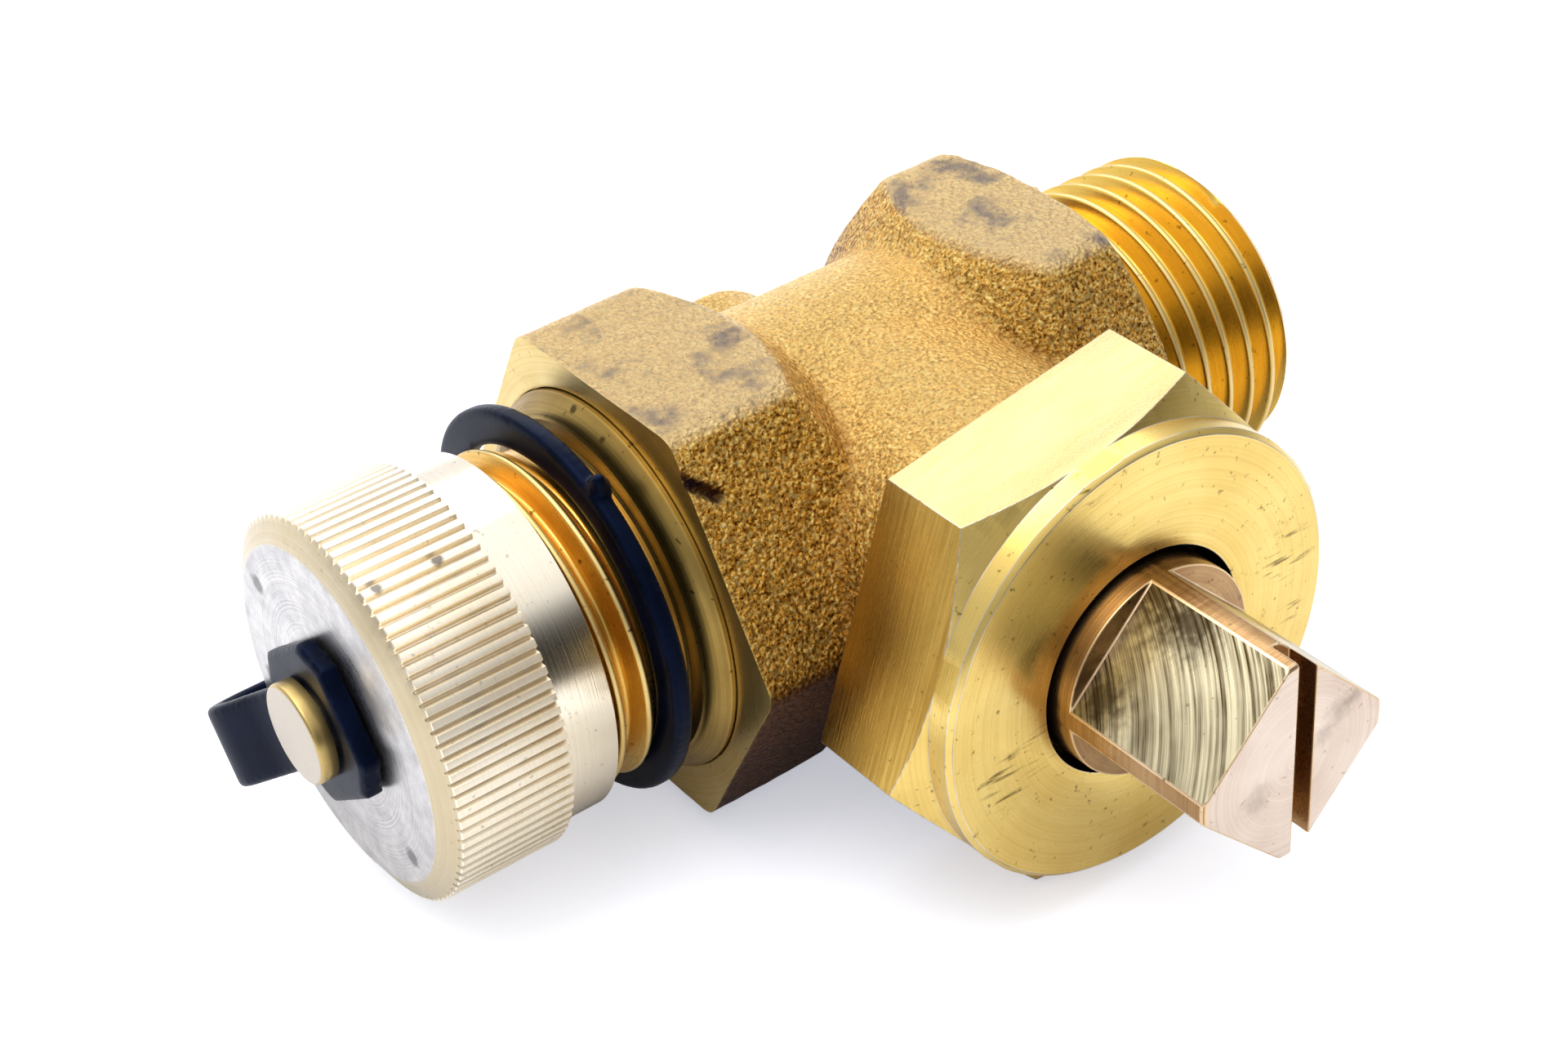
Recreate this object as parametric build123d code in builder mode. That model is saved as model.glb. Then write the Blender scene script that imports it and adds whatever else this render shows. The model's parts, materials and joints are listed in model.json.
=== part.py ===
"""Plug-type drain cock: cast brass body, square-headed plug under a gland nut, and a knurled outlet cap.

Millimetres. The flow axis is X, with the inlet thread towards +X. The origin is on that axis, at the
shoulder that the inlet thread starts from. The spindle crosses it and comes out towards -Y, and +Z is up.
"""

import os
from math import cos, pi, radians, sin, sqrt, tan

from build123d import *

# Pipe thread of half-inch size, drawn as a plain cylinder on its major diameter
thread_d = 20.955
thread_clearance = 0.05

# Inlet end of the body
inlet_thread_length = 12.3
inlet_end_chamfer = 0.7
inlet_bore_d = 14.0
inlet_bore_depth = 17.0

# Casting: barrel, plug housing and rear boss
inlet_reach = 15.5
outlet_reach = 17.75
barrel_d = 23.6
housing_d = 23.0
housing_reach = 16.8
tee_fillet = 3.0
rear_boss_d = 11.2
rear_boss_reach = 15.2
rear_boss_round = 0.5

# Casting: the two hexagons
hex_width = 27.0
hex_corner_round = 1.4
outlet_hex_length = 10.1
inlet_hex_length = 7.9
hex_slope = 45.0
inlet_hex_chamfer = 30.0

# Waterway, tapered plug seat and stuffing box
waterway_d = 9.5
drill_slope = 59.0
plug_top = 9.3
plug_bottom = 9.6
plug_top_d = 16.8
plug_taper = 6.0
plug_clearance = 0.05
seat_relief = 0.8
relief_d = 11.0
box_d = 18.0
box_clearance = 0.05

# Spindle and its square
stem_d = 13.2
stem_clearance = 0.05
stem_reach = 27.6
square_width = 10.2
square_reach = 37.9
square_chamfer = 0.2
slot_width = 1.3
slot_depth = 2.0
slot_offset = 0.7

# Packing, gland follower and gland nut
packing_height = 2.6
packing_count = 3
gland_thread_d = 22.0
gland_thread_reach = 22.2
gland_thread_chamfer = 0.6
nut_width = 28.0
nut_turn = 9.4
nut_back = 17.3
nut_hex_end = 23.4
nut_front = 26.3
nut_boss_d = 28.1
nut_boss_chamfer = 0.3
nut_shoulder_slope = 30.0
nut_wall = 3.3
nut_hole_d = 14.3
follower_skirt = 0.15

# Outlet adapter and its gasket
socket_depth = 7.6
adapter_bore_d = 14.0
collar_d = 24.2
collar_sink = 0.6
collar_cone_length = 1.4
collar_lip_d = 21.7
collar_land = 0.35
neck_d = 19.0
neck_length = 2.7
outlet_thread_length = 10.15
outlet_end_chamfer = 0.6
collar_gap = 0.1
adapter_gasket_thickness = 1.0
adapter_gasket_d = 19.6

# Cap with straight knurl and strap button
cap_gasket_thickness = 2.0
cap_gasket_bore_d = 12.0
cap_gasket_d = 20.4
cap_skirt = 6.75
cap_end_wall = 2.7
rim_d = 22.4
rim_length = 3.45
knurl_d = 23.95
knurl_count = 94
knurl_depth = 0.32
knurl_land = 0.42
knurl_root = 0.12
cap_face_d = 20.6
cap_face_chamfer = 0.85
button_neck_d = 4.4
button_neck = 1.6
button_d = 6.2
button_height = 1.1
button_round = 0.25

# Rubber strap: ring, band and eye in one piece
strap_turn = -35.0
ring_d = 24.0
ring_width = 1.25
ring_clearance = 0.1
ring_chamfer = 0.3
band_width = 5.2
band_thickness = 1.2
band_clearance = 1.1
band_bend = 2.4
eye_width = 9.4
eye_corner = 1.8
eye_bevel = 0.35
eye_clearance = 0.3
eye_lift = 0.2

# Places along the flow axis
spindle_x = -inlet_reach
outlet_face = spindle_x - outlet_reach
gasket_seat = outlet_face + socket_depth
adapter_inner = gasket_seat - adapter_gasket_thickness
collar_back = outlet_face + collar_sink
collar_front = outlet_face - collar_cone_length
neck_front = collar_front - neck_length
adapter_end = neck_front - outlet_thread_length
cap_seat = adapter_end - cap_gasket_thickness
cap_rim = adapter_end + cap_skirt
cap_knurl = cap_rim - rim_length
cap_face = cap_seat - cap_end_wall
cap_shoulder = cap_face + cap_face_chamfer
button_back = cap_face - button_neck
button_face = button_back - button_height

# Places along the spindle, counted outwards from the flow axis
packing_end = plug_top + packing_count * packing_height
nut_inner = nut_front - nut_wall
plug_bottom_d = plug_top_d - (plug_top + plug_bottom) / plug_taper
seat_end = plug_bottom + seat_relief

# Planes: outwards along the spindle, and sections through the two axes
spindle_plane = Plane(origin=(spindle_x, 0, 0), x_dir=(1, 0, 0), z_dir=(0, -1, 0))
spindle_section = Plane(origin=(spindle_x, 0, 0), x_dir=(1, 0, 0), z_dir=(0, 0, -1))
spindle_axis = Axis((spindle_x, 0, 0), (0, -1, 0))
hex_radius = hex_width / sqrt(3)
nut_radius = nut_width / sqrt(3)

os.makedirs("parts", exist_ok=True)

# Outlet hexagon of the casting: rounded corners and a sloped inner end
outlet_slope_x = outlet_face + outlet_hex_length
with BuildPart() as outlet_hex:
    with BuildSketch(Plane.YZ.offset(outlet_face)):
        RegularPolygon(hex_width / 2, 6, major_radius=False)
        fillet(vertices(), hex_corner_round)
    extrude(amount=outlet_hex_length + hex_width / 2)
    with BuildSketch(Plane.XY):
        Polygon(
            (outlet_face, 0),
            (outlet_face, hex_radius),
            (outlet_slope_x - (hex_radius - hex_width / 2) / tan(radians(hex_slope)), hex_radius),
            (outlet_slope_x + (hex_width - barrel_d) / 2 / tan(radians(hex_slope)), barrel_d / 2),
            (outlet_slope_x, 0),
            align=None,
        )
    revolve(axis=Axis.X, mode=Mode.INTERSECT)

# Inlet hexagon of the casting: sloped inside, chamfered towards the thread
inlet_slope_x = -inlet_hex_length
with BuildPart() as inlet_hex:
    with BuildSketch(Plane.YZ):
        RegularPolygon(hex_width / 2, 6, major_radius=False)
        fillet(vertices(), hex_corner_round)
    extrude(amount=-inlet_hex_length - hex_width / 2)
    with BuildSketch(Plane.XY):
        Polygon(
            (0, 0),
            (0, hex_width / 2),
            (-(hex_radius - hex_width / 2) * tan(radians(inlet_hex_chamfer)), hex_radius),
            (inlet_slope_x + (hex_radius - hex_width / 2) / tan(radians(hex_slope)), hex_radius),
            (inlet_slope_x - (hex_width - barrel_d) / 2 / tan(radians(hex_slope)), barrel_d / 2),
            (inlet_slope_x, 0),
            align=None,
        )
    revolve(axis=Axis.X, mode=Mode.INTERSECT)

# Valve body: the casting and everything machined on it
with BuildPart() as valve_body:
    with BuildSketch(Plane.YZ.offset(outlet_face)):
        Circle(barrel_d / 2)
    extrude(amount=outlet_reach + inlet_reach)
    with BuildSketch(spindle_plane):
        Circle(housing_d / 2)
    extrude(amount=housing_reach)
    tee_edges = valve_body.edges().filter_by(lambda e: e.geom_type not in (GeomType.CIRCLE, GeomType.LINE))
    fillet(tee_edges, tee_fillet)
    with BuildSketch(spindle_plane):
        Circle(rear_boss_d / 2)
    extrude(amount=-rear_boss_reach)
    fillet(valve_body.edges().group_by(Axis.Y)[-1], rear_boss_round)
    add(outlet_hex.part)
    add(inlet_hex.part)
    # Gland thread on the housing
    with BuildSketch(spindle_section):
        Polygon(
            (0, 0),
            (0, gland_thread_reach),
            (gland_thread_d / 2 - gland_thread_chamfer, gland_thread_reach),
            (gland_thread_d / 2, gland_thread_reach - gland_thread_chamfer),
            (gland_thread_d / 2, 0),
            align=None,
        )
    revolve(axis=spindle_axis)
    # Inlet thread
    with BuildSketch(Plane.XY):
        Polygon(
            (-inlet_hex_length, 0),
            (-inlet_hex_length, thread_d / 2),
            (inlet_thread_length - inlet_end_chamfer, thread_d / 2),
            (inlet_thread_length, thread_d / 2 - inlet_end_chamfer),
            (inlet_thread_length, 0),
            align=None,
        )
    revolve(axis=Axis.X)
    # Waterway from the inlet to the outlet socket, with the drill's cone behind the wide inlet bore
    inlet_bore_end = inlet_thread_length - inlet_bore_depth
    drill_cone = (inlet_bore_d - waterway_d) / 2 / tan(radians(drill_slope))
    with BuildSketch(Plane.XY):
        Polygon(
            (outlet_face, 0),
            (outlet_face, waterway_d / 2),
            (inlet_bore_end - drill_cone, waterway_d / 2),
            (inlet_bore_end, inlet_bore_d / 2),
            (inlet_thread_length, inlet_bore_d / 2),
            (inlet_thread_length, 0),
            align=None,
        )
    revolve(axis=Axis.X, mode=Mode.SUBTRACT)
    # Outlet socket: thread and a shallow recess for the adapter's collar
    with BuildSketch(Plane.XY):
        Polygon(
            (gasket_seat, 0),
            (gasket_seat, thread_d / 2),
            (collar_back, thread_d / 2),
            (collar_back, collar_d / 2 + collar_gap),
            (outlet_face, collar_d / 2 + collar_gap),
            (outlet_face, 0),
            align=None,
        )
    revolve(axis=Axis.X, mode=Mode.SUBTRACT)
    # Tapered seat of the plug, its relief at the blind end, and the stuffing box above it
    with BuildSketch(spindle_section):
        Polygon(
            (0, -seat_end),
            (relief_d / 2, -seat_end),
            (plug_bottom_d / 2, -plug_bottom),
            (plug_top_d / 2, plug_top),
            (box_d / 2, plug_top),
            (box_d / 2, gland_thread_reach),
            (0, gland_thread_reach),
            align=None,
        )
    revolve(axis=spindle_axis, mode=Mode.SUBTRACT)
valve_body.part.label = "valve_body"
export_step(valve_body.part, "parts/valve_body.step")

# Plug and spindle in one turning: tapered plug with its port, round stem, milled square and slot
with BuildPart() as plug_spindle:
    with BuildSketch(spindle_section):
        Polygon(
            (0, -plug_bottom),
            (plug_bottom_d / 2 - plug_clearance, -plug_bottom),
            (plug_top_d / 2 - plug_clearance, plug_top),
            (stem_d / 2, plug_top),
            (stem_d / 2, square_reach - square_chamfer),
            (stem_d / 2 - square_chamfer, square_reach),
            (0, square_reach),
            align=None,
        )
    revolve(axis=spindle_axis)
    with BuildSketch(spindle_plane.offset(stem_reach)):
        Circle(stem_d)
        Rectangle(square_width, square_width, rotation=45, mode=Mode.SUBTRACT)
    extrude(amount=square_reach - stem_reach, mode=Mode.SUBTRACT)
    with BuildSketch(spindle_plane.offset(square_reach)):
        with Locations((slot_offset, 0)):
            Rectangle(slot_width, 2 * stem_d)
    extrude(amount=-slot_depth, mode=Mode.SUBTRACT)
    with BuildSketch(Plane(origin=(spindle_x, 0, 0))):
        Circle(waterway_d / 2)
    extrude(amount=plug_top_d, both=True, mode=Mode.SUBTRACT)
plug_spindle.part.label = "plug_spindle"
export_step(plug_spindle.part, "parts/plug_spindle.step")

# Square-section packing rings in the stuffing box
packing_names = ["inner_packing_ring", "middle_packing_ring", "outer_packing_ring"]
for place, ring_name in enumerate(packing_names):
    with BuildPart() as packing_ring:
        with BuildSketch(spindle_plane.offset(plug_top + place * packing_height)):
            Circle(box_d / 2 - box_clearance)
            Circle(stem_d / 2 + stem_clearance, mode=Mode.SUBTRACT)
        extrude(amount=packing_height)
    packing_ring.part.label = ring_name
    export_step(packing_ring.part, f"parts/{ring_name}.step")

# Gland follower: the sleeve that the nut presses on the packing
with BuildPart() as gland_follower:
    with BuildSketch(spindle_plane.offset(packing_end)):
        Circle(box_d / 2 - follower_skirt)
        Circle(stem_d / 2 + stem_clearance, mode=Mode.SUBTRACT)
    extrude(amount=nut_inner - packing_end)
gland_follower.part.label = "gland_follower"
export_step(gland_follower.part, "parts/gland_follower.step")

# Gland nut: a hexagon turned down to a round boss, with the spindle's hole in its end wall
shoulder_end = nut_hex_end + (nut_radius - nut_boss_d / 2) * tan(radians(nut_shoulder_slope))
with BuildPart() as gland_nut:
    with BuildSketch(spindle_plane.offset(nut_back)):
        RegularPolygon(nut_width / 2, 6, major_radius=False, rotation=nut_turn)
    extrude(amount=nut_front - nut_back)
    with BuildSketch(spindle_section):
        Polygon(
            (0, nut_back),
            (nut_radius, nut_back),
            (nut_radius, nut_hex_end),
            (nut_boss_d / 2, shoulder_end),
            (nut_boss_d / 2, nut_front - nut_boss_chamfer),
            (nut_boss_d / 2 - nut_boss_chamfer, nut_front),
            (0, nut_front),
            align=None,
        )
    revolve(axis=spindle_axis, mode=Mode.INTERSECT)
    with BuildSketch(spindle_plane.offset(nut_back)):
        Circle(gland_thread_d / 2 + thread_clearance)
    extrude(amount=nut_inner - nut_back, mode=Mode.SUBTRACT)
    with BuildSketch(spindle_plane.offset(nut_inner)):
        Circle(nut_hole_d / 2)
    extrude(amount=nut_wall, mode=Mode.SUBTRACT)
gland_nut.part.label = "gland_nut"
export_step(gland_nut.part, "parts/gland_nut.step")

# Outlet adapter: collar, groove for the strap's ring, and the outlet thread
with BuildPart() as outlet_adapter:
    with BuildSketch(Plane.XY):
        Polygon(
            (adapter_inner, adapter_bore_d / 2),
            (adapter_inner, thread_d / 2 - thread_clearance),
            (collar_back, thread_d / 2 - thread_clearance),
            (collar_back, collar_d / 2),
            (outlet_face - collar_land, collar_d / 2),
            (collar_front, collar_lip_d / 2),
            (collar_front, neck_d / 2),
            (neck_front, neck_d / 2),
            (neck_front, thread_d / 2),
            (adapter_end + outlet_end_chamfer, thread_d / 2),
            (adapter_end, thread_d / 2 - outlet_end_chamfer),
            (adapter_end, adapter_bore_d / 2),
            align=None,
        )
    revolve(axis=Axis.X)
outlet_adapter.part.label = "outlet_adapter"
export_step(outlet_adapter.part, "parts/outlet_adapter.step")

# Flat gasket at the bottom of the outlet socket
with BuildPart() as adapter_gasket:
    with BuildSketch(Plane.YZ.offset(adapter_inner)):
        Circle(adapter_gasket_d / 2)
        Circle(adapter_bore_d / 2, mode=Mode.SUBTRACT)
    extrude(amount=adapter_gasket_thickness)
adapter_gasket.part.label = "adapter_gasket"
export_step(adapter_gasket.part, "parts/adapter_gasket.step")

# Cap: turned shell with a plain rim, a straight knurl and the button that holds the strap
with BuildPart() as outlet_cap:
    with BuildSketch(Plane.XY):
        Polygon(
            (cap_rim, thread_d / 2 + thread_clearance),
            (cap_rim, rim_d / 2),
            (cap_knurl, rim_d / 2),
            (cap_knurl, knurl_d / 2),
            (cap_shoulder, knurl_d / 2),
            (cap_face, cap_face_d / 2),
            (cap_face, button_neck_d / 2),
            (button_back, button_neck_d / 2),
            (button_back, button_d / 2),
            (button_face, button_d / 2),
            (button_face, 0),
            (cap_seat, 0),
            (cap_seat, thread_d / 2 + thread_clearance),
            align=None,
        )
    revolve(axis=Axis.X)
    fillet(outlet_cap.edges().group_by(Axis.X)[0], button_round)
    # Ridge profile of the knurl, cut right through the length of the cap's wide part
    knurl_pitch = 2 * pi / knurl_count
    land_angle = knurl_land * 2 / knurl_d
    root_angle = knurl_root * 2 / knurl_d
    root_r = knurl_d / 2 - knurl_depth
    ridge_points = []
    for ridge in range(knurl_count):
        middle = ridge * knurl_pitch
        valley = middle + knurl_pitch / 2
        for radius, angle in (
            (knurl_d / 2, middle - land_angle / 2),
            (knurl_d / 2, middle + land_angle / 2),
            (root_r, valley - root_angle / 2),
            (root_r, valley + root_angle / 2),
        ):
            ridge_points.append((radius * cos(angle), radius * sin(angle)))
    with BuildSketch(Plane.YZ.offset(cap_knurl)):
        Circle(knurl_d / 2 + knurl_depth)
        Polygon(*ridge_points, align=None, mode=Mode.SUBTRACT)
    extrude(amount=cap_face - cap_knurl, mode=Mode.SUBTRACT)
outlet_cap.part.label = "outlet_cap"
export_step(outlet_cap.part, "parts/outlet_cap.step")

# Flat rubber gasket inside the cap
with BuildPart() as cap_gasket:
    with BuildSketch(Plane.YZ.offset(cap_seat)):
        Circle(cap_gasket_d / 2)
        Circle(cap_gasket_bore_d / 2, mode=Mode.SUBTRACT)
    extrude(amount=cap_gasket_thickness)
cap_gasket.part.label = "cap_gasket"
export_step(cap_gasket.part, "parts/cap_gasket.step")

# Rubber strap in one moulding: ring in the adapter's groove, band round the cap, eye on the button
strap_out = Vector(0, cos(radians(strap_turn)), sin(radians(strap_turn)))
strap_plane = Plane(origin=(0, 0, 0), x_dir=(1, 0, 0), z_dir=Vector(1, 0, 0).cross(strap_out))
ring_middle = neck_front + neck_length / 2
ring_bore_d = neck_d + 2 * ring_clearance
eye_middle = cap_face - button_neck / 2
eye_thickness = button_neck - 2 * eye_lift
band_r = knurl_d / 2 + band_clearance + band_thickness / 2
with BuildPart() as cap_strap:
    with BuildSketch(Plane.XY):
        with Locations((ring_middle, (ring_d + ring_bore_d) / 4)):
            Rectangle(ring_width, (ring_d - ring_bore_d) / 2)
        chamfer(vertices(), ring_chamfer)
    revolve(axis=Axis.X)
    with BuildSketch(Plane.YZ.offset(eye_middle - eye_thickness / 2)):
        Rectangle(eye_width, eye_width, rotation=strap_turn)
        chamfer(vertices(), eye_corner)
    extrude(amount=eye_thickness)
    chamfer(cap_strap.faces().sort_by(Axis.X)[0].edges(), eye_bevel)
    with BuildLine(strap_plane) as band_path:
        FilletPolyline(
            (ring_middle, (ring_d + ring_bore_d) / 4),
            (ring_middle, band_r),
            (eye_middle - 2 * band_thickness, band_r),
            (eye_middle, eye_width / 2 - band_thickness),
            radius=band_bend,
        )
    band_start = Plane(origin=band_path.line @ 0, x_dir=(1, 0, 0), z_dir=band_path.line % 0)
    with BuildSketch(band_start):
        Rectangle(band_thickness, band_width)
    sweep(path=band_path.line)
    with BuildSketch(Plane.YZ.offset(eye_middle)):
        Circle(button_neck_d / 2 + eye_clearance)
    extrude(amount=eye_thickness, both=True, mode=Mode.SUBTRACT)
cap_strap.part.label = "cap_strap"
export_step(cap_strap.part, "parts/cap_strap.step")
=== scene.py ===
# %% [markdown]
# A plug-type drain cock in bare brass, as it lies on a studio table.
# The imported CAD model is the frame: every piece below sits where that model says, in metres.
# This first cell loads it, and part_box reads the box of any of its parts.

# %% Load the frame
import json
from math import cos, hypot, pi, radians, sin

import bmesh
import bpy
from mathutils import Matrix, Vector, noise


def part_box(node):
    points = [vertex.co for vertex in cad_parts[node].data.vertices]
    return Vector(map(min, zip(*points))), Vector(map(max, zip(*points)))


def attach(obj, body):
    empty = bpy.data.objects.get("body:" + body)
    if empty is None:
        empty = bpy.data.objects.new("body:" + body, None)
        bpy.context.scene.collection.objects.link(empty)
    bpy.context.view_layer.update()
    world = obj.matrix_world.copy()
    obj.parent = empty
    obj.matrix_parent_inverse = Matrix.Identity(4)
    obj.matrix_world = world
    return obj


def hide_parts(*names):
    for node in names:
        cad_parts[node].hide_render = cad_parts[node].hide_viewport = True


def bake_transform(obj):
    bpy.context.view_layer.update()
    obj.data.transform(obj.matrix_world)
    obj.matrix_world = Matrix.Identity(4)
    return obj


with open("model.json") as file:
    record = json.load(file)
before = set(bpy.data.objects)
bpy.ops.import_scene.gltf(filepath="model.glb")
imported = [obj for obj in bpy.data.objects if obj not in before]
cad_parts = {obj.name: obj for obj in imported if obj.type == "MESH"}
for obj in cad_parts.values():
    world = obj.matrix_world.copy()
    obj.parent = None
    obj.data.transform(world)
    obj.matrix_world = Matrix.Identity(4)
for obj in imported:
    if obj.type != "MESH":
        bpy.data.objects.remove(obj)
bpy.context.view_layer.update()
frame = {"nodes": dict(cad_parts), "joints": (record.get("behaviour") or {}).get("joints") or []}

MM = 0.001
WELD = 0.002 * MM
nodes = frame["nodes"]
print("nodes:", ", ".join(sorted(nodes)))

# %% [markdown]
# The main places along the flow axis come from the frame, so nothing has to be fitted by eye.
# The flow axis is X. The spindle crosses it at spindle_x and comes out towards -Y.

# %% Places on the part
plug_joint = next(j for j in frame["joints"] if j["name"] == "plug_turn")
spindle_x = plug_joint["pos_m"][0]
outlet_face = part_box("valve_body")[0].x
inlet_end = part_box("valve_body")[1].x
adapter_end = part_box("outlet_adapter")[0].x
cap_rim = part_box("outlet_cap")[1].x
button_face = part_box("outlet_cap")[0].x
cap_face = button_face + 2.7 * MM
print("spindle at", round(spindle_x / MM, 2), "outlet face at", round(outlet_face / MM, 2))

# %% [markdown]
# The camera repeats the view that was worked out from the photograph's edges.
# A fitted lens of about 63 mm on a 36 mm sensor sits above and to the left, with a slight roll.
# Depth of field stays off, so that the part is sharp from every other side too.

# %% Camera
camera_data = bpy.data.cameras.new("camera")
camera = bpy.data.objects.new("camera", camera_data)
bpy.context.scene.collection.objects.link(camera)
view_turn, view_lift, view_roll = radians(-34.03), radians(35.49), radians(-4.92)
back = Vector((sin(view_turn) * cos(view_lift), -cos(view_turn) * cos(view_lift), sin(view_lift)))
level = Vector((cos(view_turn), sin(view_turn), 0))
upward = back.cross(level)
right = level * cos(view_roll) + upward * sin(view_roll)
top = upward * cos(view_roll) - level * sin(view_roll)
axes = Matrix((right, top, back)).transposed().to_4x4()
camera.matrix_world = Matrix.Translation(Vector((-98.112, -114.275, 96.405)) * MM) @ axes
camera_data.sensor_fit = "HORIZONTAL"
camera_data.sensor_width = 36
camera_data.lens = 63.249
camera_data.clip_start = 0.01
bpy.context.scene.camera = camera
bpy.context.scene.view_settings.view_transform = "Standard"
print("camera", round((camera.location - Vector((spindle_x, 0, 0))).length / MM), "mm from the crossing")

# %% [markdown]
# These helpers serve every finish. The first turns an sRGB hex colour into the linear values that shaders use.
# The second adds a shader node, sets what it is given and links the sockets that it is handed.
# The others start a material, give texture scales from real sizes, and lay tones and marks over a colour.

# %% Colour and node helpers
def linear(code):
    """Linear RGBA from an sRGB hex colour."""
    shares = [int(code[i:i + 2], 16) / 255 for i in (1, 3, 5)]
    return [s / 12.92 if s <= 0.04045 else ((s + 0.055) / 1.055) ** 2.4 for s in shares] + [1]


def put(tree, kind, inputs=None, **settings):
    """Adds a node to a shader tree, with its settings, values and links."""
    added = tree.nodes.new(kind)
    for name, value in settings.items():
        if name == "stops":
            ramp = added.color_ramp.elements
            while len(ramp) < len(value):
                ramp.new(0.5)
            for stop, (place, code) in zip(ramp, value):
                stop.position = place
                stop.color = linear(code)
        else:
            setattr(added, name, value)
    for name, value in (inputs or {}).items():
        if isinstance(value, bpy.types.NodeSocket):
            tree.links.new(value, added.inputs[name])
        else:
            added.inputs[name].default_value = value
    return added


def finish_named(name, slot_name, **values):
    """A new material, its tree and its object coordinates; the values go straight on the shader's sockets."""
    material = bpy.data.materials.new(name)
    material.use_nodes = True
    tree = material.node_tree
    for socket, value in values.items():
        tree.nodes["Principled BSDF"].inputs[socket.replace("_", " ")].default_value = value
    material["slot"] = slot_name
    return material, tree, put(tree, "ShaderNodeTexCoord").outputs["Object"]


def feed(tree, **sockets):
    """Links sockets into a tree's Principled shader, by the names of its inputs."""
    for name, socket in sockets.items():
        tree.links.new(socket, tree.nodes["Principled BSDF"].inputs[name.replace("_", " ")])


def per_mm(size):
    """Texture scale whose features are about this many millimetres wide."""
    return 1 / (size * MM)


def layered(tree, colour, layers):
    """Lays tones over a colour; a layer is its share, its tone and, where it only darkens, MULTIPLY."""
    for share, tone, *blend in layers:
        over = linear(tone) if isinstance(tone, str) else tone
        colour = put(tree, "ShaderNodeMix", {0: share, 6: colour, 7: over}, data_type="RGBA",
                     blend_type=blend[0] if blend else "MIX").outputs[2]
    return colour


def marked(tree, place, colour, spots, tone, share=0.8, ragged=0.5, soft=0.3):
    """Mixes a tone into a colour round spots given as (x, y, z, radius) in mm, with ragged or soft edges."""
    wobble = put(tree, "ShaderNodeTexNoise", {"Vector": place, "Scale": per_mm(0.6), "Detail": 4.0}).outputs[0]
    for x, y, z, radius in spots:
        away = put(tree, "ShaderNodeVectorMath", {0: place, 1: Vector((x, y, z)) * MM}, operation="DISTANCE")
        edge = put(tree, "ShaderNodeMath", {0: wobble, 1: ragged * 2 * radius * MM, 2: away.outputs["Value"]},
                   operation="MULTIPLY_ADD").outputs[0]
        inside = put(tree, "ShaderNodeMapRange", {"Value": edge, "From Min": (1 - soft + ragged) * radius * MM,
                                                  "From Max": (1 + soft + ragged) * radius * MM,
                                                  "To Min": share, "To Max": 0.0}).outputs[0]
        colour = layered(tree, colour, ((inside, tone),))
    return colour


def colour_of(material):
    """The shader tree of a material, its object coordinates and the colour that feeds its shader."""
    tree = material.node_tree
    colour = tree.nodes["Principled BSDF"].inputs["Base Color"].links[0].from_socket
    return tree, put(tree, "ShaderNodeTexCoord").outputs["Object"], colour


# %% [markdown]
# Soft studio light: a broad box overhead, a pale panel behind the part that its top faces mirror,
# and a world that is a light tent, darker in front where the camera stands at its open side.
# Metal shows what is around it, so the dark opening gives the round faces their deep bands.
# Camera rays see plain white, so the background is white without more light on the brass.

# %% Studio light
def softbox(name, place, aim, width, depth, glow):
    """An area light; glow is its radiance, where 1 is paper white."""
    data = bpy.data.lights.new(name, "AREA")
    data.shape = "RECTANGLE"
    data.size = width
    data.size_y = depth
    data.energy = glow * pi * width * depth
    box = bpy.data.objects.new(name, data)
    bpy.context.scene.collection.objects.link(box)
    box.location = place
    box.rotation_euler = (aim - place).to_track_quat("-Z", "Y").to_euler()


part_middle = Vector((spindle_x - 6 * MM, -8 * MM, 0))
for name, offset, width, depth, glow in (("overhead_box", (-0.10, 0.04, 0.42), 0.40, 0.30, 2.6),
                                         ("back_panel", (0.13, 0.36, 0.33), 0.50, 0.32, 1.8)):
    softbox(name, part_middle + Vector(offset), part_middle, width, depth, glow)

world = bpy.data.worlds.new("light_tent")
bpy.context.scene.world = world
world.use_nodes = True
sky = world.node_tree
sky.nodes.clear()
direction = put(sky, "ShaderNodeTexCoord").outputs["Generated"]
ways = put(sky, "ShaderNodeSeparateXYZ", {0: direction}).outputs
roof = put(sky, "ShaderNodeMapRange", {"Value": ways["Z"], "From Min": 0.25, "From Max": 0.85,
                                       "To Min": 0.48, "To Max": 1.30},
           interpolation_type="SMOOTHSTEP").outputs[0]
rear = put(sky, "ShaderNodeMapRange", {"Value": ways["Y"], "From Min": 0.2, "From Max": 0.75,
                                       "To Min": 0.48, "To Max": 1.05},
           interpolation_type="SMOOTHSTEP").outputs[0]
tent = put(sky, "ShaderNodeMath", {0: roof, 1: rear}, operation="MAXIMUM").outputs[0]
facing = put(sky, "ShaderNodeVectorMath", {0: direction, 1: Vector((0.48, -0.85, 0.24)).normalized()},
             operation="DOT_PRODUCT").outputs["Value"]
open_front = put(sky, "ShaderNodeMapRange", {"Value": facing, "From Min": 0.86, "From Max": 1.0,
                                             "To Min": 1.0, "To Max": 0.05},
                 interpolation_type="SMOOTHSTEP").outputs[0]
tent_light = put(sky, "ShaderNodeMath", {0: tent, 1: open_front}, operation="MULTIPLY").outputs[0]
inside = put(sky, "ShaderNodeBackground", {"Color": linear("#F7F9FF"), "Strength": tent_light})
white = put(sky, "ShaderNodeBackground", {"Color": (1, 1, 1, 1), "Strength": 1.0})
seen = put(sky, "ShaderNodeLightPath").outputs["Is Camera Ray"]
shown = put(sky, "ShaderNodeMixShader", {0: seen, 1: inside.outputs[0], 2: white.outputs[0]})
put(sky, "ShaderNodeOutputWorld", {"Surface": shown.outputs[0]})

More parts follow.
